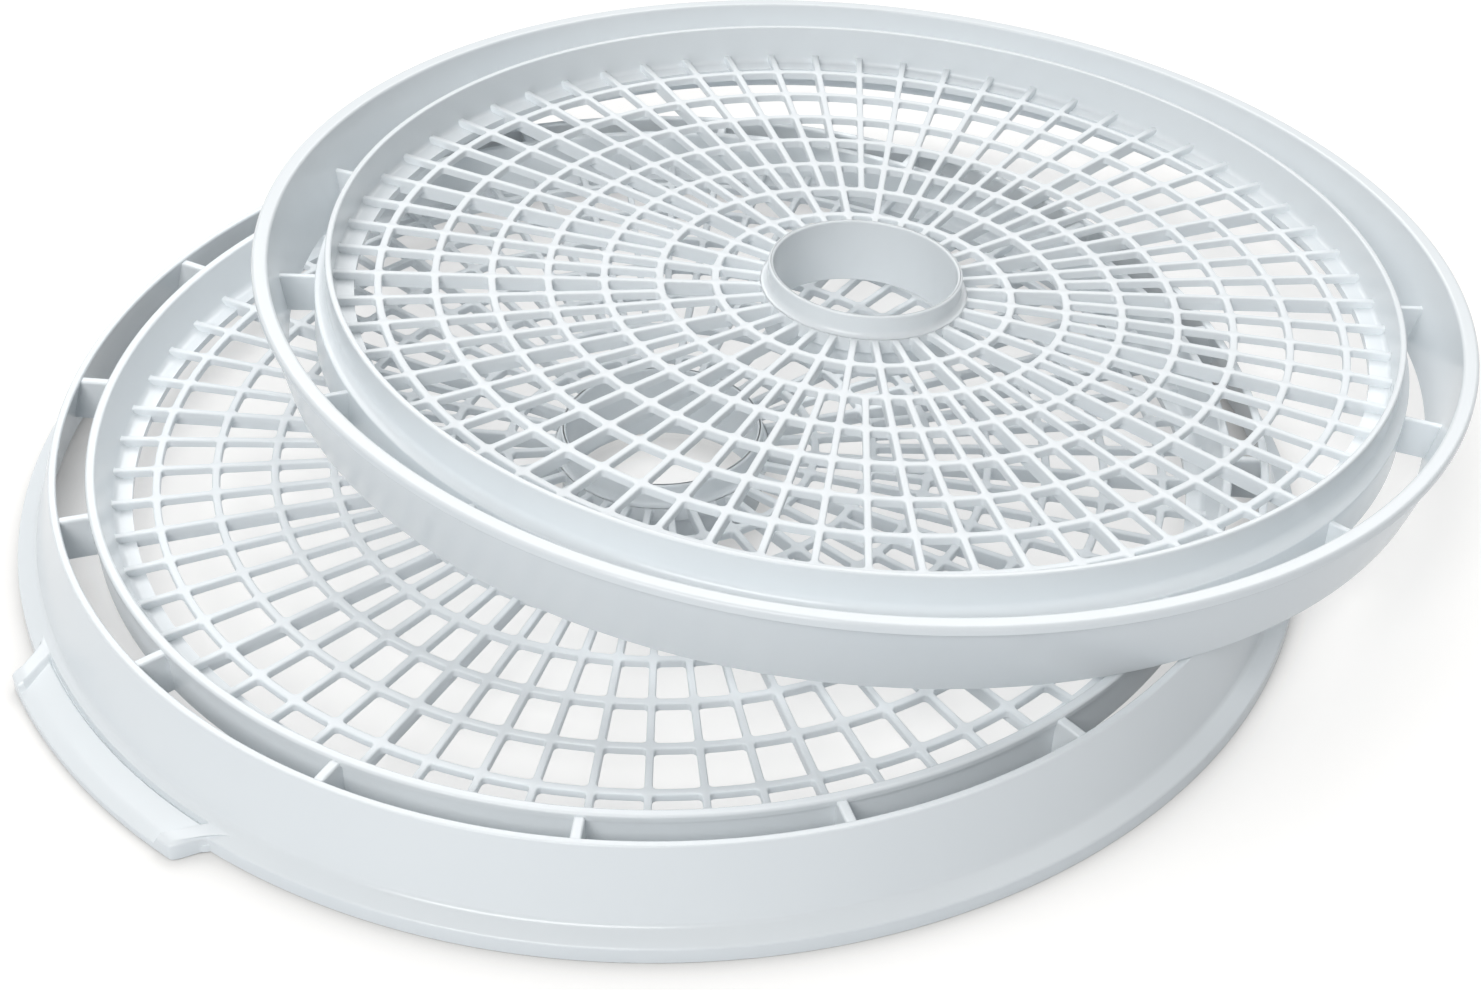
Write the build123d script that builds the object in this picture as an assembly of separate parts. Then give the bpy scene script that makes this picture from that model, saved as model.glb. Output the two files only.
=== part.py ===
from build123d import *
from math import asin, cos, degrees, radians, sin, tan
import os

# Two round stacking trays of a food dehydrator. The upper tray leans on the lower one.
# Millimetres, +Z up. The origin is the centre of the lower tray's foot.
# Radii are set by one outer radius and run inwards by named widths.

# Lower tray: the flange that it stands on, and the outer wall above it
flange_radius = 167.5
flange_width = 4.9
flange_edge_height = 4.6
flange_rise = 1.6
flange_round = 2.2
wall_draft = 5.6
wall_sweep = 2.0
lower_height = 25.0
lower_wall = 2.2

# Lower tray: air channel, inner ring, webs and mesh level
lower_channel = 6.9
lower_ring_top_width = 2.4
lower_ring_draft = 4.0
lower_ring_wall = 3.2
lower_lip_height = 1.8
lower_lip_depth = 0.6
lower_ledge_width = 4.2
lower_mesh_depth = 8.7
lower_web_drop = 0.8
lower_web_height = 11.7
lower_web_thickness = 2.6
lower_rib_heading = 17.4

# Thumb tabs on the lower flange
tab_heading = 220.1
tab_reach = 7.4
tab_root = 2.9
tab_width = 88.0
tab_side_draft = 4.0
tab_corner = 4.5
tab_blend = 5.0
tab_step = 1.0
tab_fall = 2.0
tab_end_border = 3.0
tab_plate = 2.0

# Upper tray: its flat rim fits inside a flange, above a wall that narrows downwards
stack_clearance = 1.5
upper_height = 23.1
upper_rim_width = 4.1
upper_rim_thickness = 2.6
upper_rim_overhang = 1.0
upper_draft = 6.1
upper_wall = 2.2

# Upper tray: air channel, inner ring, webs and mesh level
upper_channel = 14.8
upper_ring_drop = 0.2
upper_ring_top_width = 1.7
upper_ring_draft = 0.4
upper_ledge_width = 5.5
upper_shoulder_drop = 9.6
upper_shoulder_fall = 0.6
upper_shoulder_width = 2.8
upper_shoulder_round = 2.2
upper_skirt_lift = 2.4
upper_skirt_wall = 2.0
upper_mesh_depth = 9.4
upper_web_drop = 11.3
upper_web_thickness = 1.8
upper_rib_heading = 4.4

# Food mesh, the same in both trays
rib_count = 64
long_rib_step = 2
stiffener_step = 4
inner_ring_count = 1
hub_gap = 13.9
ring_pitch = 15.1
ring_width = 2.0
ring_height = 1.1
rib_width = 1.9
rib_height = 1.1
stiffener_depth = 2.0
ledge_thickness = 2.0

# Hub collar in the middle of each mesh
hub_radius = 26.5
hub_wall = 1.4
hub_rise = 6.0
hub_foot_width = 1.8
hub_flare = 1.5

# Broken edges, and the way the upper tray rests
edge_break = 0.5
seat_clearance = 0.3
lean_heading = 40.5
lean_shift = 69.3
full_turn = 360.0

# Radii and heights that follow from these sizes
wall_foot_radius = flange_radius - flange_width
lower_rim_radius = wall_foot_radius - wall_draft
lower_rim_inner = lower_rim_radius - lower_wall
flange_top = flange_edge_height + flange_rise
lower_ring_radius = lower_rim_inner - lower_channel
lower_ring_foot_radius = lower_ring_radius - lower_ring_top_width - lower_ring_draft
lower_mesh_top = lower_height - lower_mesh_depth
upper_rim_radius = flange_radius - lower_wall - stack_clearance
upper_rim_inner = upper_rim_radius - upper_rim_width
upper_foot_radius = upper_rim_radius - upper_rim_overhang - upper_draft
upper_ring_radius = upper_rim_inner - upper_channel
upper_ring_foot_radius = upper_ring_radius - upper_ring_top_width - upper_ring_draft
upper_skirt_radius = upper_ring_radius + upper_shoulder_width
upper_mesh_top = upper_height - upper_mesh_depth
mesh_thickness = ring_height + rib_height
hub_foot_radius = hub_radius + hub_foot_width


# A closed section, given as radius, height and corner rounding, turned about the axis
def turned(*corners):
    points = [(radius, height) for radius, height, rounding in corners]
    roundings = [rounding for radius, height, rounding in corners]
    outline = FilletPolyline(*points, radius=roundings, close=True)
    return revolve(Plane.XZ * make_face(outline), Axis.Z)


# A flat radial plate, given as radius and height, centred on the XZ plane
def radial_plate(thickness, corners):
    section = make_face(Polyline(*corners, close=True))
    return extrude(Plane.XZ * section, amount=thickness / 2, both=True).solid()


# How far out a plate of some width reaches before its corners meet a round wall
def seat_inside(radius, width):
    return (radius**2 - (width / 2) ** 2) ** 0.5


# Radius of a straight sloping wall at a height, from its ends given as radius and height
def radius_at(height, low, high):
    share = (height - low[1]) / (high[1] - low[1])
    return low[0] + share * (high[0] - low[0])


# Copies of a shape at every rib place that a rule picks
def at_ribs(shape, picks, turn):
    step = full_turn / rib_count
    return [Rot(Z=turn + step * place) * shape for place in range(rib_count) if picks(place)]


# True for the rib places that carry a stiffener and a web
def has_stiffener(place):
    return place % stiffener_step == 0


# The inner face of the lower wall, as its lower and upper ends
def lower_wall_face():
    return (wall_foot_radius - lower_wall, flange_top - lower_wall), (lower_rim_inner, lower_height)


# The outer wall of the lower tray: rim, wall that sweeps out, and flange, open at both thumb tabs
def lower_outer_wall(tab_places):
    skirt_radius = flange_radius - lower_wall
    face_foot, face_top = lower_wall_face()
    wall = turned(
        (skirt_radius, 0, 0),
        (flange_radius, 0, 0),
        (flange_radius, flange_edge_height, flange_round),
        (wall_foot_radius, flange_top, wall_sweep),
        (lower_rim_radius, lower_height - edge_break, 0),
        (lower_rim_radius - edge_break, lower_height, 0),
        (*face_top, 0),
        (*face_foot, wall_sweep + lower_wall),
        (skirt_radius, flange_edge_height - lower_wall, 0),
    )
    notch = extrude(tab_tongue(tab_width) - Circle(flange_radius - tab_root), amount=lower_height)
    for place in tab_places:
        wall = wall - place * notch
    return wall.solid()


# The plan of a thumb tab: a tongue along the X axis that narrows outwards, with a round tip
def tab_tongue(width):
    tip = flange_radius + tab_reach
    root = flange_radius - tab_root
    inner = root - width
    tip_half = width / 2 - tab_side_draft
    inner_half = radius_at(inner, (width / 2, root), (tip_half, tip))
    corners = [(inner, -inner_half), (tip, -tip_half), (tip, tip_half), (inner, inner_half)]
    return make_face(Polyline(*corners, close=True)) & Circle(tip)


# True for an upright edge where a tab leaves the flange
def on_flange_edge(edge):
    middle = edge.center()
    return middle.X > 0 and abs((middle.X**2 + middle.Y**2) ** 0.5 - flange_radius) < edge_break


# A thumb tab: a tongue that blends into the flange edge, with a scooped floor that falls outwards
# between two raised ends, and hollow below
def thumb_tab():
    root = flange_radius - tab_root
    tip = flange_radius + tab_reach
    root_top = flange_edge_height + flange_rise * tab_root / flange_width
    crease = root_top - tab_step
    edge = crease - tab_fall
    flange_disc = Circle(flange_radius)
    tongue = tab_tongue(tab_width)
    blank = extrude(flange_disc + tongue, amount=root_top)
    corners = blank.edges().filter_by(Axis.Z).group_by(lambda edge: round(edge.center().X))
    blank = fillet(corners[-1], tab_corner)
    roots = blank.edges().filter_by(Axis.Z).filter_by(on_flange_edge)
    blank = fillet(roots, tab_blend)
    spare = flange_disc - (tongue - Circle(root))
    tab = blank - extrude(spare, amount=root_top)
    above = turned((root, root_top, 0), (flange_radius, flange_edge_height, 0), (tip, flange_edge_height, 0),
                   (tip, root_top, 0))
    over_floor = turned((root, crease, 0), (tip, edge, 0), (tip, root_top, 0), (root, root_top, 0))
    under_floor = turned((root, 0, 0), (tip - tab_plate, 0, 0), (tip - tab_plate, edge - tab_plate, 0),
                         (root, crease - tab_plate, 0))
    scoop = extrude(tab_tongue(tab_width - 2 * tab_end_border), amount=root_top)
    tab = tab - above - (over_floor & scoop) - (under_floor & scoop)
    return tab.solid()


# The outer face of the lower inner ring below its lip, as its lower and upper ends
def lower_ring_face():
    ledge_bottom = lower_mesh_top - mesh_thickness - ledge_thickness
    lip_bottom = lower_height - lower_lip_height
    return ((lower_ring_foot_radius + lower_ring_wall, ledge_bottom),
            (lower_ring_radius - lower_lip_depth, lip_bottom))


# The inner ring of the lower tray: flat top, small lip outside and the ledge that carries the mesh
def lower_inner_ring():
    ledge_radius = lower_ring_foot_radius - lower_ledge_width
    ledge_top = lower_mesh_top - mesh_thickness
    face_foot, face_top = lower_ring_face()
    return turned(
        (ledge_radius, ledge_top - ledge_thickness, 0),
        (ledge_radius, ledge_top, 0),
        (lower_ring_foot_radius, ledge_top, 0),
        (lower_ring_radius - lower_ring_top_width, lower_height, 0),
        (lower_ring_radius - edge_break, lower_height, 0),
        (lower_ring_radius, lower_height - edge_break, 0),
        (lower_ring_radius, face_top[1], 0),
        (*face_top, 0),
        (*face_foot, 0),
    ).solid()


# The inner face of the upper wall, as its lower and upper ends
def upper_wall_face():
    return (upper_foot_radius - upper_wall, 0), (upper_rim_inner, upper_height)


# The outer wall of the upper tray: a band that widens upwards under a flat rim
def upper_outer_wall():
    rim_bottom = upper_height - upper_rim_thickness
    face_foot, face_top = upper_wall_face()
    return turned(
        (*face_foot, 0),
        (upper_foot_radius, 0, 0),
        (upper_rim_radius - upper_rim_overhang, rim_bottom, 0),
        (upper_rim_radius, rim_bottom, 0),
        (upper_rim_radius, upper_height - edge_break, 0),
        (upper_rim_radius - edge_break, upper_height, 0),
        (*face_top, 0),
    ).solid()


# The inner ring of the upper tray: thin top, a shoulder outside, a skirt below and the mesh ledge
def upper_inner_ring():
    top = upper_height - upper_ring_drop
    ledge_radius = upper_ring_foot_radius - upper_ledge_width
    ledge_top = upper_mesh_top - mesh_thickness
    ledge_bottom = ledge_top - ledge_thickness
    shoulder = top - upper_shoulder_drop
    skirt_inner = upper_skirt_radius - upper_skirt_wall
    return turned(
        (ledge_radius, ledge_bottom, 0),
        (ledge_radius, ledge_top, 0),
        (upper_ring_foot_radius, ledge_top, 0),
        (upper_ring_radius - upper_ring_top_width, top, 0),
        (upper_ring_radius - edge_break, top, 0),
        (upper_ring_radius, top - edge_break, 0),
        (upper_ring_radius, shoulder, upper_shoulder_round),
        (upper_skirt_radius, shoulder - upper_shoulder_fall, 0),
        (upper_skirt_radius, upper_skirt_lift, 0),
        (skirt_inner, upper_skirt_lift, 0),
        (skirt_inner, ledge_bottom, 0),
    ).solid()


# The hub: an open collar on a flared foot, as deep as the stiffeners
def hub(mesh_top):
    bottom = mesh_top - mesh_thickness - stiffener_depth
    top = mesh_top + hub_rise
    return turned(
        (hub_radius - hub_wall, bottom, 0),
        (hub_foot_radius, bottom, 0),
        (hub_foot_radius, mesh_top, 0),
        (hub_radius, mesh_top + hub_flare, 0),
        (hub_radius, top, 0),
        (hub_radius - hub_wall, top, 0),
    ).solid()


# Radius of a mesh ring, counted outwards from the hub
def ring_radius(number):
    return hub_radius + hub_gap + ring_pitch * number


# The round bars of the mesh, flush with its top, as many as fit inside the ledge
def mesh_rings(mesh_top, ledge_radius):
    bars = []
    while ring_radius(len(bars)) + ring_width < ledge_radius:
        middle = ring_radius(len(bars))
        bar = Circle(middle + ring_width / 2) - Circle(middle - ring_width / 2)
        bars.append(extrude(Pos(Z=mesh_top - ring_height) * bar, amount=ring_height).solid())
    return bars


# The straight ribs under the round bars, from the hub or an inner bar out to the ring's wall
def mesh_ribs(mesh_top, wall_radius, turn):
    top = mesh_top - ring_height
    bottom = top - rib_height
    outer = seat_inside(wall_radius, rib_width)
    short_inner = ring_radius(inner_ring_count) - ring_width / 2
    ribs = []
    for inner, picks in (
        (short_inner, lambda place: place % long_rib_step != 0),
        (hub_foot_radius, lambda place: place % long_rib_step == 0 and not has_stiffener(place)),
    ):
        corners = [(inner, bottom), (outer, bottom), (outer, top), (inner, top)]
        ribs += at_ribs(radial_plate(rib_width, corners), picks, turn)
    return ribs


# The deep ribs that stiffen the mesh, one in line with each web
def stiffeners(mesh_top, wall_radius, ledge_radius, turn):
    top = mesh_top - ring_height
    bottom = top - rib_height
    deep = bottom - stiffener_depth
    outer = seat_inside(wall_radius, rib_width)
    deep_outer = seat_inside(ledge_radius, rib_width)
    corners = [(hub_foot_radius, deep), (deep_outer, deep), (deep_outer, bottom),
               (outer, bottom), (outer, top), (hub_foot_radius, top)]
    return at_ribs(radial_plate(rib_width, corners), has_stiffener, turn)


# The radial webs that hold the lower wall to the inner ring across the open air channel
def lower_webs():
    top = lower_height - lower_web_drop
    bottom = top - lower_web_height
    ring_foot, ring_top = lower_ring_face()
    outer = [seat_inside(radius_at(height, *lower_wall_face()), lower_web_thickness)
             for height in (bottom, top)]
    corners = [(radius_at(bottom, ring_foot, ring_top), bottom), (outer[0], bottom), (outer[1], top),
               (lower_ring_radius, top), (lower_ring_radius, ring_top[1]), ring_top]
    return at_ribs(radial_plate(lower_web_thickness, corners), has_stiffener, lower_rib_heading)


# The radial webs that hold the upper wall to the skirt of the inner ring
def upper_webs():
    top = upper_height - upper_web_drop
    outer = [seat_inside(radius_at(height, *upper_wall_face()), upper_web_thickness)
             for height in (upper_skirt_lift, top)]
    corners = [(upper_skirt_radius, upper_skirt_lift), (outer[0], upper_skirt_lift), (outer[1], top),
               (upper_skirt_radius, top)]
    return at_ribs(radial_plate(upper_web_thickness, corners), has_stiffener, upper_rib_heading)


def lower_tray():
    wall_radius = lower_ring_foot_radius
    ledge_radius = wall_radius - lower_ledge_width
    tab_places = [Rot(Z=tab_heading), Rot(Z=tab_heading + full_turn / 2)]
    tab = thumb_tab()
    return {
        "lower_outer_wall": [lower_outer_wall(tab_places)],
        "lower_inner_ring": [lower_inner_ring()],
        "lower_hub": [hub(lower_mesh_top)],
        "lower_front_thumb_tab": [tab_places[0] * tab],
        "lower_rear_thumb_tab": [tab_places[1] * tab],
        "lower_webs": lower_webs(),
        "lower_mesh_rings": mesh_rings(lower_mesh_top, ledge_radius),
        "lower_mesh_ribs": mesh_ribs(lower_mesh_top, wall_radius, lower_rib_heading),
        "lower_stiffeners": stiffeners(lower_mesh_top, wall_radius, ledge_radius, lower_rib_heading),
    }


def upper_tray():
    wall_radius = upper_ring_foot_radius
    ledge_radius = wall_radius - upper_ledge_width
    return {
        "upper_outer_wall": [upper_outer_wall()],
        "upper_inner_ring": [upper_inner_ring()],
        "upper_hub": [hub(upper_mesh_top)],
        "upper_webs": upper_webs(),
        "upper_mesh_rings": mesh_rings(upper_mesh_top, ledge_radius),
        "upper_mesh_ribs": mesh_ribs(upper_mesh_top, wall_radius, upper_rib_heading),
        "upper_stiffeners": stiffeners(upper_mesh_top, wall_radius, ledge_radius, upper_rib_heading),
    }


# The upper tray sits with its foot on the lower rim at two places and with its stiffeners on the
# far side of that rim, so the lean follows from the sizes of both trays
def upper_place():
    stiffener_bottom = upper_mesh_top - mesh_thickness - stiffener_depth
    foot_inner = upper_foot_radius - upper_wall
    crossing = (lean_shift**2 + lower_rim_radius**2 - foot_inner**2) / (2 * lean_shift)
    lean = asin(stiffener_bottom / (lower_rim_radius - crossing))
    seat = lower_height + seat_clearance - (lean_shift - crossing) * tan(lean)
    heading = radians(lean_heading)
    place = Pos(lean_shift * cos(heading), lean_shift * sin(heading), seat)
    return place * Rot(Z=lean_heading) * Rot(Y=degrees(lean)) * Rot(Z=-lean_heading)


pieces = lower_tray()
for name, solids in upper_tray().items():
    pieces[name] = [upper_place() * solid for solid in solids]

os.makedirs("parts", exist_ok=True)
for name, solids in pieces.items():
    export_step(solids[0] if len(solids) == 1 else Compound(children=solids), f"parts/{name}.step")
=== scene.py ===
import bmesh
import bpy
from math import asin, cos, degrees, pi, radians, sin, tan, tau
from mathutils import Matrix, Vector


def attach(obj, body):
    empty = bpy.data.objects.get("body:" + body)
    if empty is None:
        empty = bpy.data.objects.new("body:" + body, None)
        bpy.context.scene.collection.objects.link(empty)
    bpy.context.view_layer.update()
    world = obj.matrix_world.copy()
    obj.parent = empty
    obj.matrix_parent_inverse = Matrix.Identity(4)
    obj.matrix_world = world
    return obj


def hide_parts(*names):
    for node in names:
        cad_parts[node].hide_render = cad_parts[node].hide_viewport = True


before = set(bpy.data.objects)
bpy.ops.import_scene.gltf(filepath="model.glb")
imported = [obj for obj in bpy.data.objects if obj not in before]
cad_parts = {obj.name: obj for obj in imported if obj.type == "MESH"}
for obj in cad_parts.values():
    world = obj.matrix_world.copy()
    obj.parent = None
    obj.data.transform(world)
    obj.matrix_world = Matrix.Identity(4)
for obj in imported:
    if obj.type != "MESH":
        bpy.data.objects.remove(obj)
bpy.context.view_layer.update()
scene = bpy.context.scene
mm = 0.001  # every size below is in millimetres, meshes are in metres
weldGap = 0.004  # points closer than this are one


# sRGB hex to linear, with alpha
def linear(code):
    parts = [int(code[i:i + 2], 16) / 255 for i in (1, 3, 5)]
    return [c / 12.92 if c <= 0.04045 else ((c + 0.055) / 1.055) ** 2.4 for c in parts] + [1.0]


# adds one node, for shader and geometry trees alike
def addNode(tree, kind, settings=None, values=None, links=None):
    node = tree.nodes.new(kind)
    for key, value in (settings or {}).items():
        setattr(node, key, value)
    for key, value in (values or {}).items():
        node.inputs[key].default_value = value
    for key, source in (links or {}).items():
        tree.links.new(source, node.inputs[key])
    return node


# polypropylene, injection moulded in a polished tool: milky white, soft satin highlights,
# a faint cloudiness in the wall and a very fine grain on the skin
plasticLook = {"white": "#F0F4F6", "cloud": "#EAEFF2", "cloudSize": 60, "mottleSize": 12, "grainSize": 0.9,
               "grainHeight": 0.003, "smoothest": 0.18, "roughest": 0.23, "ior": 1.49}


def mouldedPolypropylene(name, look):
    material = bpy.data.materials.new(name)
    material.use_nodes = True
    tree = material.node_tree
    tree.nodes.clear()
    place = addNode(tree, "ShaderNodeTexCoord").outputs["Object"]
    cloud = addNode(tree, "ShaderNodeTexNoise", values={"Scale": 1 / (look["cloudSize"] * mm), "Detail": 2.0},
                    links={"Vector": place})
    tint = addNode(tree, "ShaderNodeMix", {"data_type": "RGBA"},
                   {6: linear(look["white"]), 7: linear(look["cloud"])}, {0: cloud.outputs[0]})
    mottle = addNode(tree, "ShaderNodeTexNoise", values={"Scale": 1 / (look["mottleSize"] * mm), "Detail": 3.0},
                     links={"Vector": place})
    rough = addNode(tree, "ShaderNodeMapRange", values={"To Min": look["smoothest"], "To Max": look["roughest"]},
                    links={"Value": mottle.outputs[0]})
    # real grain is near 0.1 mm, drawn coarser so that it shows
    grain = addNode(tree, "ShaderNodeTexNoise", values={"Scale": 1 / (look["grainSize"] * mm), "Detail": 2.0},
                    links={"Vector": place})
    bump = addNode(tree, "ShaderNodeBump", values={"Strength": 1.0, "Distance": look["grainHeight"] * mm},
                   links={"Height": grain.outputs[0]})
    skin = addNode(tree, "ShaderNodeBsdfPrincipled", values={"IOR": look["ior"]},
                   links={"Base Color": tint.outputs[2], "Roughness": rough.outputs[0], "Normal": bump.outputs[0]})
    addNode(tree, "ShaderNodeOutputMaterial", links={"Surface": skin.outputs[0]})
    return material


wallPlastic = mouldedPolypropylene("mouldedPolypropyleneWall", plasticLook)
meshLook = {**plasticLook, "smoothest": 0.32, "roughest": 0.42}  # the mesh is a little duller than the walls
meshPlastic = mouldedPolypropylene("mouldedPolypropyleneMesh", meshLook)
print("materials made")


# closed outline from corners (x, y, rounding), with close points beside each arc so that flats stay flat
def roundedLoop(corners, arcSteps=6, support=0.25):
    loop = []
    count = len(corners)
    for i, (x, y, rounding) in enumerate(corners):
        corner = Vector((x, y))
        before = Vector(corners[i - 1][:2]) - corner
        after = Vector(corners[(i + 1) % count][:2]) - corner
        if rounding == 0:
            if support and before.length > 4 * support:
                loop.append(corner + before.normalized() * support)
            loop.append(corner)
            if support and after.length > 4 * support:
                loop.append(corner + after.normalized() * support)
            continue
        half = before.angle(after) / 2
        reach = rounding / tan(half)
        before.normalize()
        after.normalize()
        centre = corner + (before + after).normalized() * (rounding / sin(half))
        first = corner + before * reach - centre
        last = corner + after * reach - centre
        sweep = pi - 2 * half
        if support:
            loop.append(corner + before * (reach + support))
        for k in range(arcSteps + 1):
            t = k / arcSteps
            loop.append(centre + (first * sin((1 - t) * sweep) + last * sin(t * sweep)) / sin(sweep))
        if support:
            loop.append(corner + after * (reach + support))
    return loop


# a section turned about the tray's axis; reshape may move a point at a given angle
def turnedMesh(name, loop, angles, reshape=None):
    rows = len(loop)
    points = []
    for angle in angles:
        for r, z in loop:
            turn = 0
            if reshape:
                r, z, turn = reshape(r, z, angle)
            points.append((r * cos(angle + turn) * mm, r * sin(angle + turn) * mm, z * mm))
    faces = []
    for i in range(len(angles)):
        j = (i + 1) % len(angles)
        for k in range(rows):
            m = (k + 1) % rows
            faces.append((i * rows + k, j * rows + k, j * rows + m, i * rows + m))
    mesh = bpy.data.meshes.new(name)
    mesh.from_pydata(points, [], faces)
    return mesh


# merges doubles, turns faces outwards, shades, and hands the piece to its body
def finishPiece(name, mesh, material, body, nodes, place=None, sharpFrom=34):
    shell = bmesh.new()
    shell.from_mesh(mesh)
    bmesh.ops.remove_doubles(shell, verts=shell.verts, dist=weldGap * mm)
    bmesh.ops.recalc_face_normals(shell, faces=shell.faces)
    shell.to_mesh(mesh)
    shell.free()
    if place:
        mesh.transform(place)
    mesh.materials.clear()
    mesh.materials.append(material)
    mesh.shade_smooth()
    mesh.set_sharp_from_angle(angle=radians(sharpFrom))
    piece = bpy.data.objects.new(name, mesh)
    scene.collection.objects.link(piece)
    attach(piece, body)
    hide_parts(*nodes)
    print(name, "made:", len(mesh.polygons), "faces")


def evenAngles(count):
    return [tau * i / count for i in range(count)]


# geometry nodes: copies of a mesh evenly about the tray's axis
def polarTree():
    tree = bpy.data.node_groups.new("polarArray", "GeometryNodeTree")
    for name, kind in (("Geometry", "Geometry"), ("Count", "Int"), ("Turn", "Float"), ("Weld", "Float"),
                       ("Material", "Material")):
        tree.interface.new_socket(name, in_out="INPUT", socket_type="NodeSocket" + kind)
    tree.interface.new_socket("Geometry", in_out="OUTPUT", socket_type="NodeSocketGeometry")
    given = addNode(tree, "NodeGroupInput").outputs
    points = addNode(tree, "GeometryNodePoints", links={"Count": given["Count"]})
    order = addNode(tree, "GeometryNodeInputIndex")
    share = addNode(tree, "ShaderNodeMath", {"operation": "DIVIDE"}, links={0: order.outputs[0], 1: given["Count"]})
    angle = addNode(tree, "ShaderNodeMath", {"operation": "MULTIPLY_ADD"}, {1: tau},
                    {0: share.outputs[0], 2: given["Turn"]})
    spin = addNode(tree, "ShaderNodeCombineXYZ", links={"Z": angle.outputs[0]})
    copies = addNode(tree, "GeometryNodeInstanceOnPoints",
                     links={"Points": points.outputs[0], "Instance": given["Geometry"],
                            "Rotation": spin.outputs[0]})
    real = addNode(tree, "GeometryNodeRealizeInstances", links={"Geometry": copies.outputs[0]})
    weld = addNode(tree, "GeometryNodeMergeByDistance",
                   links={"Geometry": real.outputs[0], "Distance": given["Weld"]})
    paint = addNode(tree, "GeometryNodeSetMaterial",
                    links={"Geometry": weld.outputs[0], "Material": given["Material"]})
    addNode(tree, "NodeGroupOutput", links={0: paint.outputs[0]})
    return tree


polarArray = polarTree()


# one mesh, repeated by the tree and turned back into a plain mesh
def aroundAxis(mesh, count, turn, material):
    carrier = bpy.data.objects.new(mesh.name, mesh)
    scene.collection.objects.link(carrier)
    modifier = carrier.modifiers.new("polarArray", "NODES")
    modifier.node_group = polarArray
    given = {"Count": count, "Turn": radians(turn), "Weld": weldGap * mm, "Material": material}
    for socket in polarArray.interface.items_tree:
        if socket.in_out == "INPUT" and socket.name in given:
            modifier[socket.identifier] = given[socket.name]
    sight = bpy.context.evaluated_depsgraph_get()
    whole = bpy.data.meshes.new_from_object(carrier.evaluated_get(sight), depsgraph=sight)
    bpy.data.objects.remove(carrier)
    return whole


# food mesh, alike in both trays: rings and ribs flush on top, every fourth rib deep
grid = {"ribs": 64, "pitch": 15.1, "outerRing": 131.0, "rings": 7, "longFrom": 55.0, "ringWidth": 2.1,
        "ribWidth": 1.9, "depth": 2.2, "edge": 0.45, "draft": 0.12, "corner": 1.1, "hubFoot": 28.2, "start": 27.2,
        "stiffenerCount": 16, "stiffenerDepth": 4.2, "stiffenerTip": 1.3, "stiffenerEnd": 137.8,
        "stiffenerInset": 0.2, "stiffenerLap": 0.6,  # narrower than a rib, and sunk into its underside
        "innerSteps": 4, "outerSteps": 8}  # straight runs along a slice's two ends


# one hole of the mesh, grown on all sides; its curved sides are three straight runs each
def cellLoop(innerEdge, outerEdge, fromAngle, toAngle, grow):
    ribHalf = grid["ribWidth"] / 2 - grow
    inner, outer = innerEdge - grow, outerEdge + grow
    starts = [fromAngle + asin(ribHalf / r) for r in (inner, outer)]
    ends = [toAngle - asin(ribHalf / r) for r in (inner, outer)]
    corner = grid["corner"] + grow
    polar = [(inner, starts[0], corner), (outer, starts[1], corner)]
    polar += [(outer, starts[1] + (ends[1] - starts[1]) * k / 3, 0) for k in (1, 2)]
    polar += [(outer, ends[1], corner), (inner, ends[0], corner)]
    polar += [(inner, ends[0] + (starts[0] - ends[0]) * k / 3, 0) for k in (1, 2)]
    return roundedLoop([(r * cos(a), r * sin(a), c) for r, a, c in polar], arcSteps=4, support=0)


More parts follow.
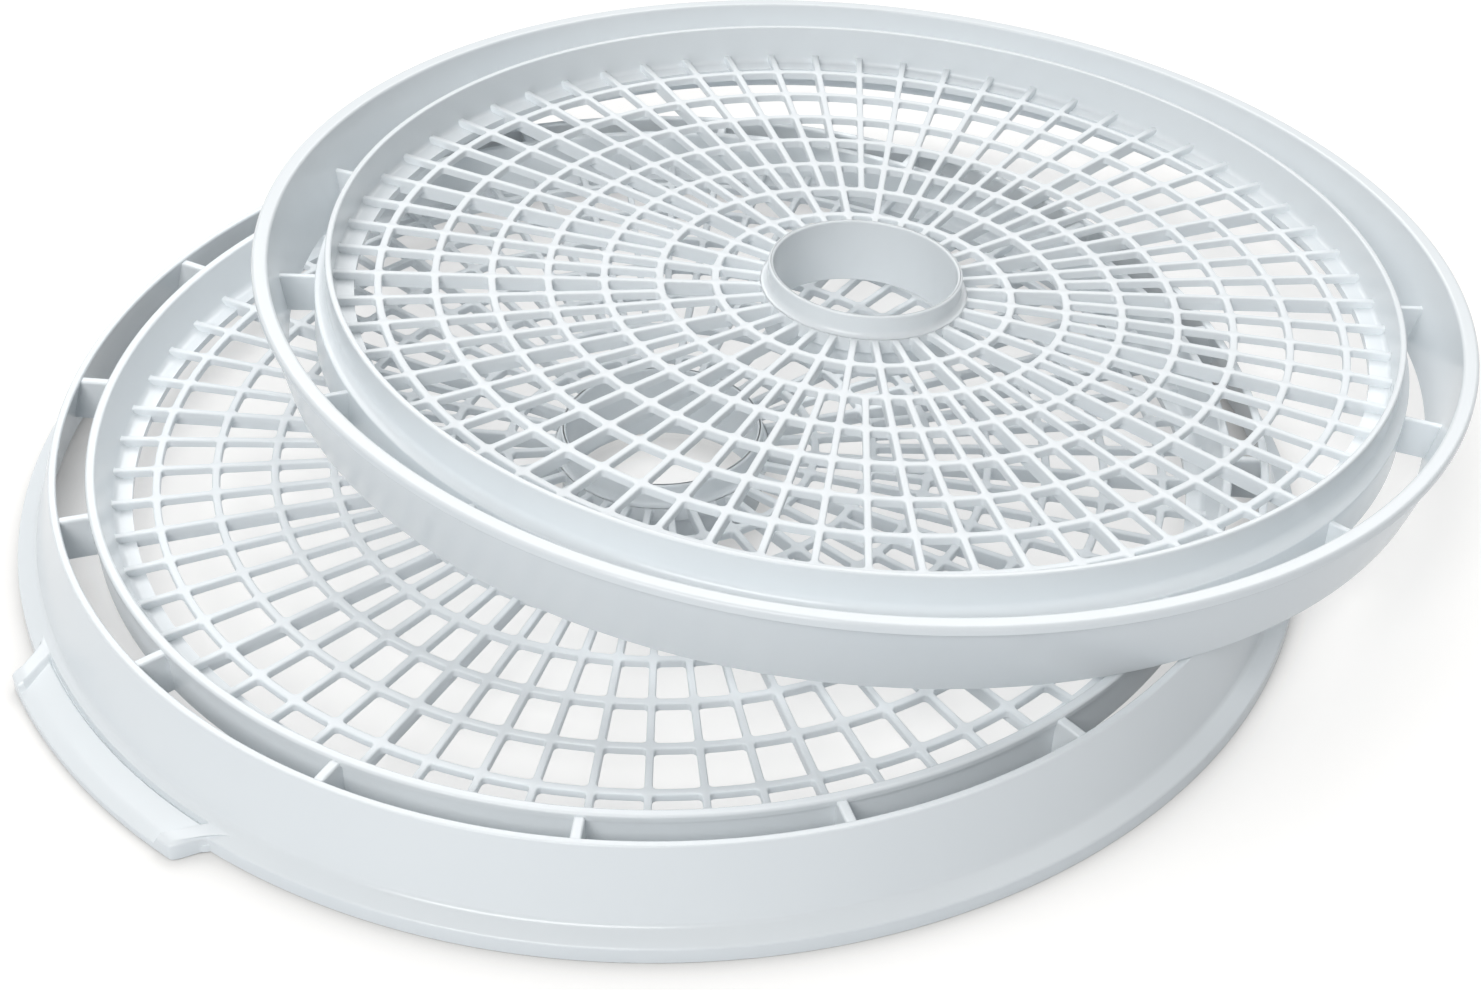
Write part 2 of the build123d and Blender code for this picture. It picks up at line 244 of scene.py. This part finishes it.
# the slice of mesh between two long ribs, open at its two seams
def gridSector(name, wallEdge, plateEnd):
    wedge = 2 * tau / grid["ribs"]
    radii = [grid["outerRing"] - grid["pitch"] * k for k in range(grid["rings"])][::-1]
    bands = [(grid["hubFoot"], radii[0] - grid["ringWidth"] / 2)]
    bands += [(a + grid["ringWidth"] / 2, b - grid["ringWidth"] / 2) for a, b in zip(radii, radii[1:])]
    bands += [(radii[-1] + grid["ringWidth"] / 2, wallEdge)]
    edge = grid["edge"]
    levels = [(edge * (1 - sin(t)), -edge * (1 - cos(t))) for t in (0, pi / 6, pi / 3, pi / 2)]
    levels.append((grid["draft"], -grid["depth"]))
    sector = bmesh.new()
    topEdges, bottomEdges = [], []

    def rim(points, z):
        return [sector.verts.new((x * mm, y * mm, z * mm)) for x, y in points]

    def chain(verts):
        return [sector.edges.get(pair) or sector.edges.new(pair) for pair in zip(verts, verts[1:] + verts[:1])]

    for inner, outer in bands:
        cuts = 1 if outer < grid["longFrom"] else 2
        for cell in range(cuts):
            span = (wedge * cell / cuts, wedge * (cell + 1) / cuts)
            rims = [rim(cellLoop(inner, outer, *span, grow), z) for grow, z in levels]
            for upper, lower in zip(rims, rims[1:]):
                for k in range(len(upper)):
                    m = (k + 1) % len(upper)
                    sector.faces.new((upper[k], upper[m], lower[m], lower[k]))
            topEdges += chain(rims[0])
            bottomEdges += chain(rims[-1])
    innerSteps, outerSteps = grid["innerSteps"], grid["outerSteps"]
    border = [(grid["start"], wedge * k / innerSteps) for k in range(innerSteps + 1)][::-1]
    border += [(plateEnd, wedge * k / outerSteps) for k in range(outerSteps + 1)]
    border = [(r * cos(a), r * sin(a)) for r, a in border]
    top, bottom = rim(border, 0), rim(border, -grid["depth"])
    topEdges += chain(top)
    bottomEdges += chain(bottom)
    for k in [*range(innerSteps), *range(innerSteps + 1, innerSteps + 1 + outerSteps)]:  # inner and outer end walls
        sector.faces.new((top[k], top[k + 1], bottom[k + 1], bottom[k]))
    bmesh.ops.triangle_fill(sector, use_beauty=True, edges=topEdges)
    bmesh.ops.triangle_fill(sector, use_beauty=True, edges=bottomEdges)
    mesh = bpy.data.meshes.new(name)
    sector.to_mesh(mesh)
    sector.free()
    return mesh


# an upright radial plate with a rounded top; each end is (radius at the bottom, radius at the top)
def radialPlate(name, innerEnd, outerEnd, bottom, top, thickness, tipThickness, rounding):
    section = roundedLoop([(-tipThickness / 2, bottom, 0), (tipThickness / 2, bottom, 0),
                           (thickness / 2, top, rounding), (-thickness / 2, top, rounding)], arcSteps=4)
    points = []
    for low, high in (innerEnd, outerEnd):
        points += [((low + (high - low) * (z - bottom) / (top - bottom)) * mm, y * mm, z * mm) for y, z in section]
    rows = len(section)
    faces = [(k, (k + 1) % rows, rows + (k + 1) % rows, rows + k) for k in range(rows)]
    faces += [tuple(range(rows))[::-1], tuple(range(rows, 2 * rows))]
    mesh = bpy.data.meshes.new(name)
    mesh.from_pydata(points, [], faces)
    return mesh


def meshFloor(tray, top, turn, wallEdge, plateEnd, place):
    sector = gridSector(tray + "MeshSlice", wallEdge, plateEnd)
    sector.transform(Matrix.Translation((0, 0, top * mm)))
    floorMesh = aroundAxis(sector, grid["ribs"] // 2, turn, meshPlastic)
    finishPiece(tray + "MeshFloor", floorMesh, meshPlastic, tray + "_tray",
                [tray + "_mesh_rings", tray + "_mesh_ribs"], place)
    bar = radialPlate(tray + "StiffenerBar", (grid["start"],) * 2, (grid["stiffenerEnd"],) * 2,
                      top - grid["stiffenerDepth"], top - grid["depth"] + grid["stiffenerLap"],
                      grid["ribWidth"] - grid["stiffenerInset"], grid["stiffenerTip"], 0)
    bars = aroundAxis(bar, grid["stiffenerCount"], turn, meshPlastic)
    finishPiece(tray + "Stiffeners", bars, meshPlastic, tray + "_tray", [tray + "_stiffeners"], place)


# open collar in the middle of the mesh, a tube that runs down to the tray's base
hub = {"radius": 26.5, "wall": 1.4, "rise": 6.0, "footWidth": 1.8, "blend": 1.5, "edge": 0.6, "base": 1.0,
       "footEdge": 0.3, "steps": 128}


def hubCollar(tray, top, place):
    bore = hub["radius"] - hub["wall"]
    foot = hub["radius"] + hub["footWidth"]
    footBottom = top - grid["stiffenerDepth"]
    loop = roundedLoop([
        (bore, hub["base"], hub["footEdge"]), (hub["radius"], hub["base"], hub["footEdge"]),
        (hub["radius"], footBottom, hub["footEdge"]), (foot, footBottom, hub["footEdge"]), (foot, top, 0),
        (hub["radius"], top, hub["blend"]), (hub["radius"], top + hub["rise"], hub["edge"]),
        (bore, top + hub["rise"], hub["edge"])])
    mesh = turnedMesh(tray + "Hub", loop, evenAngles(hub["steps"]))
    finishPiece(tray + "Hub", mesh, wallPlastic, tray + "_tray", [tray + "_hub"], place)


def webFins(tray, fin, turn, place):
    plate = radialPlate(tray + "WebFin", fin["inner"], fin["outer"], fin["bottom"], fin["top"], fin["thickness"],
                        fin["thickness"], fin["edge"])
    fins = aroundAxis(plate, fin["count"], turn, wallPlastic)
    finishPiece(tray + "Webs", fins, wallPlastic, tray + "_tray", [tray + "_webs"], place)


# lower tray
lowerWall = {"flange": 167.5, "foot": 162.6, "rim": 157.0, "edgeHeight": 4.1, "rise": 2.1, "edgeRound": 0.7,
             "height": 25.0, "wall": 2.2, "sweep": 1.8, "rimRound": 0.6, "arcSteps": 8,
             "perDegree": 8, "plainStep": 9}  # points per degree at a tab, and how many make one step elsewhere
# angles from the tab's middle are in degrees; rows are distances past the crease
thumbTab = {"heading": 220.1, "reach": 7.4, "crease": 164.6, "stretch": 1.2, "root": 16.3, "corner": 14.4,
            "slant": 2.2, "slantFrom": 8, "slantFade": 3, "scoop": 13.2, "scoopEdge": 0.5, "step": 1.1,
            "stepEdge": 0.03, "groove": 0.9, "grooveEnd": 0.14, "grooveEdge": 0.09, "fall": 1.0, "zone": 20,
            "rows": (0, 0.01, 0.02, 0.03, 0.06, 0.08, 0.1, 0.12, 0.14, 0.3, 0.6, 0.9, 1.2)}
lowerTurn = 17.4


def ease(t):
    t = min(max(t, 0), 1)
    return t * t * (3 - 2 * t)


# degrees from the middle of the nearer thumb tab, the two being opposite each other
def fromTab(angle):
    return (angle - thumbTab["heading"] + 90) % 180 - 90


# pulls the flange out into a thumb tab, slants its sides and sinks its scoop between two raised ends
def tabReshape(r, z, angle):
    t = thumbTab
    past = r - t["crease"]
    aside = fromTab(degrees(angle))
    away = abs(aside)
    if past <= 0 or away > t["zone"]:
        return r, z, 0
    share = min(past / t["stretch"], 1)
    out = ease((t["root"] - away) / (t["root"] - t["corner"]))
    sink = ease((t["scoop"] - away) / t["scoopEdge"])
    down = ease(past / t["stepEdge"])
    dip = t["groove"] * down * ease((t["grooveEnd"] - past) / t["grooveEdge"])
    fall = (t["step"] * down + dip + t["fall"] * share) * sink
    slant = min(away / t["slantFrom"], 1, (t["zone"] - away) / t["slantFade"]) * t["slant"] * share
    turn = radians(-slant if aside > 0 else slant)
    return r + t["reach"] * out * share, z - fall * min(z / lowerWall["edgeHeight"], 1), turn


def lowerOuterWall():
    w = lowerWall
    top = w["edgeHeight"] + w["rise"]
    skirt = w["flange"] - w["wall"]
    loop = roundedLoop([
        (skirt, 0, 0), (w["flange"], 0, 0), (w["flange"], w["edgeHeight"], w["edgeRound"]),
        (w["foot"], top, w["sweep"]), (w["rim"], w["height"], w["rimRound"]),
        (w["rim"] - w["wall"], w["height"], w["rimRound"]),
        (w["foot"] - w["wall"], top - w["wall"], w["sweep"] + w["wall"]),
        (skirt, w["edgeHeight"] - w["wall"], 0)], arcSteps=w["arcSteps"])
    fine = []
    creaseRows = [thumbTab["crease"] + past for past in thumbTab["rows"]]
    for here, there in zip(loop, loop[1:] + loop[:1]):  # closer rows where a tab bends the flange
        low, high = min(here.x, there.x), max(here.x, there.x)
        cuts = [(r - here.x) / (there.x - here.x) for r in creaseRows if low < r < high]
        fine += [here] + [here.lerp(there, cut) for cut in sorted(cuts)]
    angles = []
    for k in range(360 * w["perDegree"]):
        if k % w["plainStep"] == 0 or abs(fromTab(k / w["perDegree"])) < thumbTab["zone"]:
            angles.append(radians(k / w["perDegree"]))
    mesh = turnedMesh("lowerOuterWall", fine, angles, tabReshape)
    finishPiece("lowerOuterWall", mesh, wallPlastic, "lower_tray",
                ["lower_outer_wall", "lower_front_thumb_tab", "lower_rear_thumb_tab"])


# the mesh's outer holes end at cellEnd, and its plate runs on into the ring up to plateEnd
lowerRing = {"top": 25.0, "radius": 147.9, "topWidth": 2.4, "foot": 141.5, "skirt": 147.0, "lipHeight": 1.8,
             "lipDepth": 0.6, "ledge": 137.3, "ledgeThickness": 2.0, "edge": 0.7, "footRound": 2.2,
             "skirtEdge": 0.5, "cellEnd": 142.6, "plateEnd": 143.8, "steps": 320}
lowerMeshTop = 16.3


def lowerInnerRing():
    g = lowerRing
    ledgeTop = lowerMeshTop - grid["depth"]
    ledgeBottom = ledgeTop - g["ledgeThickness"]
    loop = roundedLoop([
        (g["ledge"], ledgeBottom, 0), (g["ledge"], ledgeTop, 0), (g["foot"], ledgeTop, g["footRound"]),
        (g["radius"] - g["topWidth"], g["top"], g["edge"]), (g["radius"], g["top"], g["edge"]),
        (g["radius"], g["top"] - g["lipHeight"], 0), (g["radius"] - g["lipDepth"], g["top"] - g["lipHeight"], 0),
        (g["skirt"], ledgeBottom, g["skirtEdge"])])
    mesh = turnedMesh("lowerInnerRing", loop, evenAngles(g["steps"]))
    finishPiece("lowerInnerRing", mesh, wallPlastic, "lower_tray", ["lower_inner_ring"])


# upright webs across the air channel, sunk a little into the ring and the wall at their ends
lowerFin = {"count": 16, "inner": (144.3, 147.0), "outer": (158.9, 155.8), "bottom": 12.5, "top": 24.2,
            "thickness": 2.6, "edge": 0.6}
lowerOuterWall()
lowerInnerRing()
meshFloor("lower", lowerMeshTop, lowerTurn, lowerRing["cellEnd"], lowerRing["plateEnd"], None)
hubCollar("lower", lowerMeshTop, None)
webFins("lower", lowerFin, lowerTurn, None)
print("lower tray made")

# upper tray, and how it leans on the rim of the lower one
upperWall = {"height": 23.1, "rim": 163.8, "rimWidth": 4.1, "rimThickness": 2.6, "overhang": 1.0, "foot": 156.7,
             "wall": 2.2, "rimRound": 0.9, "underEdge": 0.4, "steps": 320}
upperRing = {"top": 22.9, "radius": 144.9, "topWidth": 1.7, "foot": 142.8, "shoulderDrop": 9.6, "shoulderFall": 0.6,
             "shoulderWidth": 2.8, "shoulderRound": 2.2, "skirtBottom": 1.6, "skirtWall": 2.0, "ledge": 137.3,
             "ledgeThickness": 2.0, "edge": 0.5, "footRound": 1.2, "skirtEdge": 0.4, "cellEnd": 143.3,
             "plateEnd": 144.0, "steps": 320}
upperFin = {"count": 16, "inner": (147.0, 147.0), "outer": (155.8, 157.9), "bottom": 1.6, "top": 12.0,
            "thickness": 1.8, "edge": 0.4}
upperMeshTop = 13.7
upperTurn = 4.4
leaning = {"heading": 40.5, "shift": 69.3, "clearance": 0.3}


# the upper tray tilts until its stiffeners and its wall's foot both rest on the lower rim
def leanPlace():
    stiffenerBottom = upperMeshTop - grid["stiffenerDepth"]
    footInner = upperWall["foot"] - upperWall["wall"]
    shift, rim = leaning["shift"], lowerWall["rim"]
    crossing = (shift ** 2 + rim ** 2 - footInner ** 2) / (2 * shift)
    lean = asin(stiffenerBottom / (rim - crossing))
    seat = lowerWall["height"] + leaning["clearance"] - (shift - crossing) * tan(lean)
    heading = radians(leaning["heading"])
    move = Matrix.Translation((shift * cos(heading) * mm, shift * sin(heading) * mm, seat * mm))
    tilt = Matrix.Rotation(heading, 4, "Z") @ Matrix.Rotation(lean, 4, "Y") @ Matrix.Rotation(-heading, 4, "Z")
    return move @ tilt


def upperOuterWall(place):
    w = upperWall
    under = w["height"] - w["rimThickness"]
    loop = roundedLoop([
        (w["foot"] - w["wall"], 0, 0), (w["foot"], 0, 0), (w["rim"] - w["overhang"], under, 0),
        (w["rim"], under, w["underEdge"]), (w["rim"], w["height"], w["rimRound"]),
        (w["rim"] - w["rimWidth"], w["height"], w["rimRound"])])
    mesh = turnedMesh("upperOuterWall", loop, evenAngles(w["steps"]))
    finishPiece("upperOuterWall", mesh, wallPlastic, "upper_tray", ["upper_outer_wall"], place)


def upperInnerRing(place):
    g = upperRing
    ledgeTop = upperMeshTop - grid["depth"]
    ledgeBottom = ledgeTop - g["ledgeThickness"]
    shoulder = g["top"] - g["shoulderDrop"]
    skirt = g["radius"] + g["shoulderWidth"]
    loop = roundedLoop([
        (g["ledge"], ledgeBottom, 0), (g["ledge"], ledgeTop, 0), (g["foot"], ledgeTop, g["footRound"]),
        (g["radius"] - g["topWidth"], g["top"], g["edge"]), (g["radius"], g["top"], g["edge"]),
        (g["radius"], shoulder, g["shoulderRound"]), (skirt, shoulder - g["shoulderFall"], g["skirtEdge"]),
        (skirt, g["skirtBottom"], g["skirtEdge"]), (skirt - g["skirtWall"], g["skirtBottom"], g["skirtEdge"]),
        (skirt - g["skirtWall"], ledgeBottom, 0)])
    mesh = turnedMesh("upperInnerRing", loop, evenAngles(g["steps"]))
    finishPiece("upperInnerRing", mesh, wallPlastic, "upper_tray", ["upper_inner_ring"], place)


upperPlace = leanPlace()
upperOuterWall(upperPlace)
upperInnerRing(upperPlace)
meshFloor("upper", upperMeshTop, upperTurn, upperRing["cellEnd"], upperRing["plateEnd"], upperPlace)
hubCollar("upper", upperMeshTop, upperPlace)
webFins("upper", upperFin, upperTurn, upperPlace)
print("upper tray made")

# white paper sweep under the trays: paper is the tone that lights them from below, shade the tone that is seen,
# lifted towards white by a glow that fades by ambient occlusion where a tray comes close: a painted contact shadow
# that deepens the real one
paperLook = {"size": 8000, "paper": "#DADEE2", "shade": "#BDBBB8", "lift": 0.6, "paintedContactShade": 14, "drop": 0.3}


# 1 for rays that show the background, straight, mirrored or through clear material
def seenRays(tree):
    rays = addNode(tree, "ShaderNodeLightPath").outputs
    seen = addNode(tree, "ShaderNodeMath", {"operation": "ADD"},
                   links={0: rays["Is Camera Ray"], 1: rays["Is Glossy Ray"]})
    seen = addNode(tree, "ShaderNodeMath", {"operation": "ADD", "use_clamp": True},
                   links={0: seen.outputs[0], 1: rays["Is Transmission Ray"]})
    return seen.outputs[0]


def paperSweep():
    half = paperLook["size"] / 2 * mm
    mesh = bpy.data.meshes.new("paperSweep")
    low = -paperLook["drop"] * mm
    corners = [(-half, -half, low), (half, -half, low), (half, half, low), (-half, half, low)]
    mesh.from_pydata(corners, [], [(0, 1, 2, 3)])
    material = bpy.data.materials.new("mattPaper")
    material.use_nodes = True
    tree = material.node_tree
    tree.nodes.clear()
    seen = seenRays(tree)
    lift = addNode(tree, "ShaderNodeMath", {"operation": "MULTIPLY"}, {1: paperLook["lift"]}, {0: seen})
    # painted contact shade: the glow is scaled down by ambient occlusion near the trays
    paintedContactShade = addNode(tree, "ShaderNodeAmbientOcclusion", values={"Distance": paperLook["paintedContactShade"] * mm})
    lift = addNode(tree, "ShaderNodeMath", {"operation": "MULTIPLY"},
                   links={0: lift.outputs[0], 1: paintedContactShade.outputs["AO"]})
    tone = addNode(tree, "ShaderNodeMix", {"data_type": "RGBA"},
                   {6: linear(paperLook["paper"]), 7: linear(paperLook["shade"])}, {0: seen})
    paper = addNode(tree, "ShaderNodeBsdfDiffuse", links={"Color": tone.outputs[2]})
    glow = addNode(tree, "ShaderNodeEmission", links={"Strength": lift.outputs[0]})
    both = addNode(tree, "ShaderNodeAddShader", links={0: paper.outputs[0], 1: glow.outputs[0]})
    addNode(tree, "ShaderNodeOutputMaterial", links={"Surface": both.outputs[0]})
    mesh.materials.append(material)
    sweep = bpy.data.objects.new("paperSweep", mesh)
    scene.collection.objects.link(sweep)


# soft studio light: two wide softboxes, one in front and a little to the left, one high behind, and an even room
studio = {"room": "#F2F5F7", "roomStrength": 0.24, "backdropStrength": 0.8, "aim": (0, 0, 0),
          "boxes": [("frontBox", (-580, -1500, 1500), (1300, 900), 25.8),
                    ("backBox", (0, 1415, 1685), (2400, 1800), 34.5)]}  # name, place, size, watts


def studioLight():
    world = bpy.data.worlds.new("room")
    world.use_nodes = True
    tree = world.node_tree
    back = tree.nodes["Background"]
    back.inputs["Color"].default_value = linear(studio["room"])
    strength = addNode(tree, "ShaderNodeMapRange",
                       values={"To Min": studio["roomStrength"], "To Max": studio["backdropStrength"]},
                       links={"Value": seenRays(tree)})
    tree.links.new(strength.outputs[0], back.inputs["Strength"])
    scene.world = world
    for name, spot, size, power in studio["boxes"]:
        lamp = bpy.data.lights.new(name, "AREA")
        lamp.shape = "RECTANGLE"
        lamp.size, lamp.size_y = size[0] * mm, size[1] * mm
        lamp.energy = power
        holder = bpy.data.objects.new(name, lamp)
        holder.location = Vector(spot) * mm
        holder.rotation_euler = (Vector(studio["aim"]) - Vector(spot)).to_track_quat("-Z", "Y").to_euler()
        scene.collection.objects.link(holder)


# the photograph's viewpoint
view = {"focus": 2670, "imageWidth": 1481, "elevation": 37.78, "roll": 0.86, "target": (20.90, -0.87, 0),
        "distance": 712.33, "sensor": 36}  # focus in pixels of an image that wide


def photoCamera():
    lens = bpy.data.cameras.new("photoCamera")
    lens.sensor_width = view["sensor"]
    lens.lens = view["focus"] / view["imageWidth"] * lens.sensor_width
    tilt, roll = radians(view["elevation"]), radians(view["roll"])
    back = Vector((0, -cos(tilt), sin(tilt)))
    side, up = Vector((1, 0, 0)), Vector((0, sin(tilt), cos(tilt)))
    right = side * cos(roll) + up * sin(roll)
    above = up * cos(roll) - side * sin(roll)
    spot = (Vector(view["target"]) + back * view["distance"]) * mm
    camera = bpy.data.objects.new("photoCamera", lens)
    camera.matrix_world = Matrix((right, above, back)).transposed().to_4x4()
    camera.location = spot
    scene.collection.objects.link(camera)
    scene.camera = camera


paperSweep()
studioLight()
photoCamera()
scene.view_settings.view_transform = "Standard"
print("stage, light and camera set")
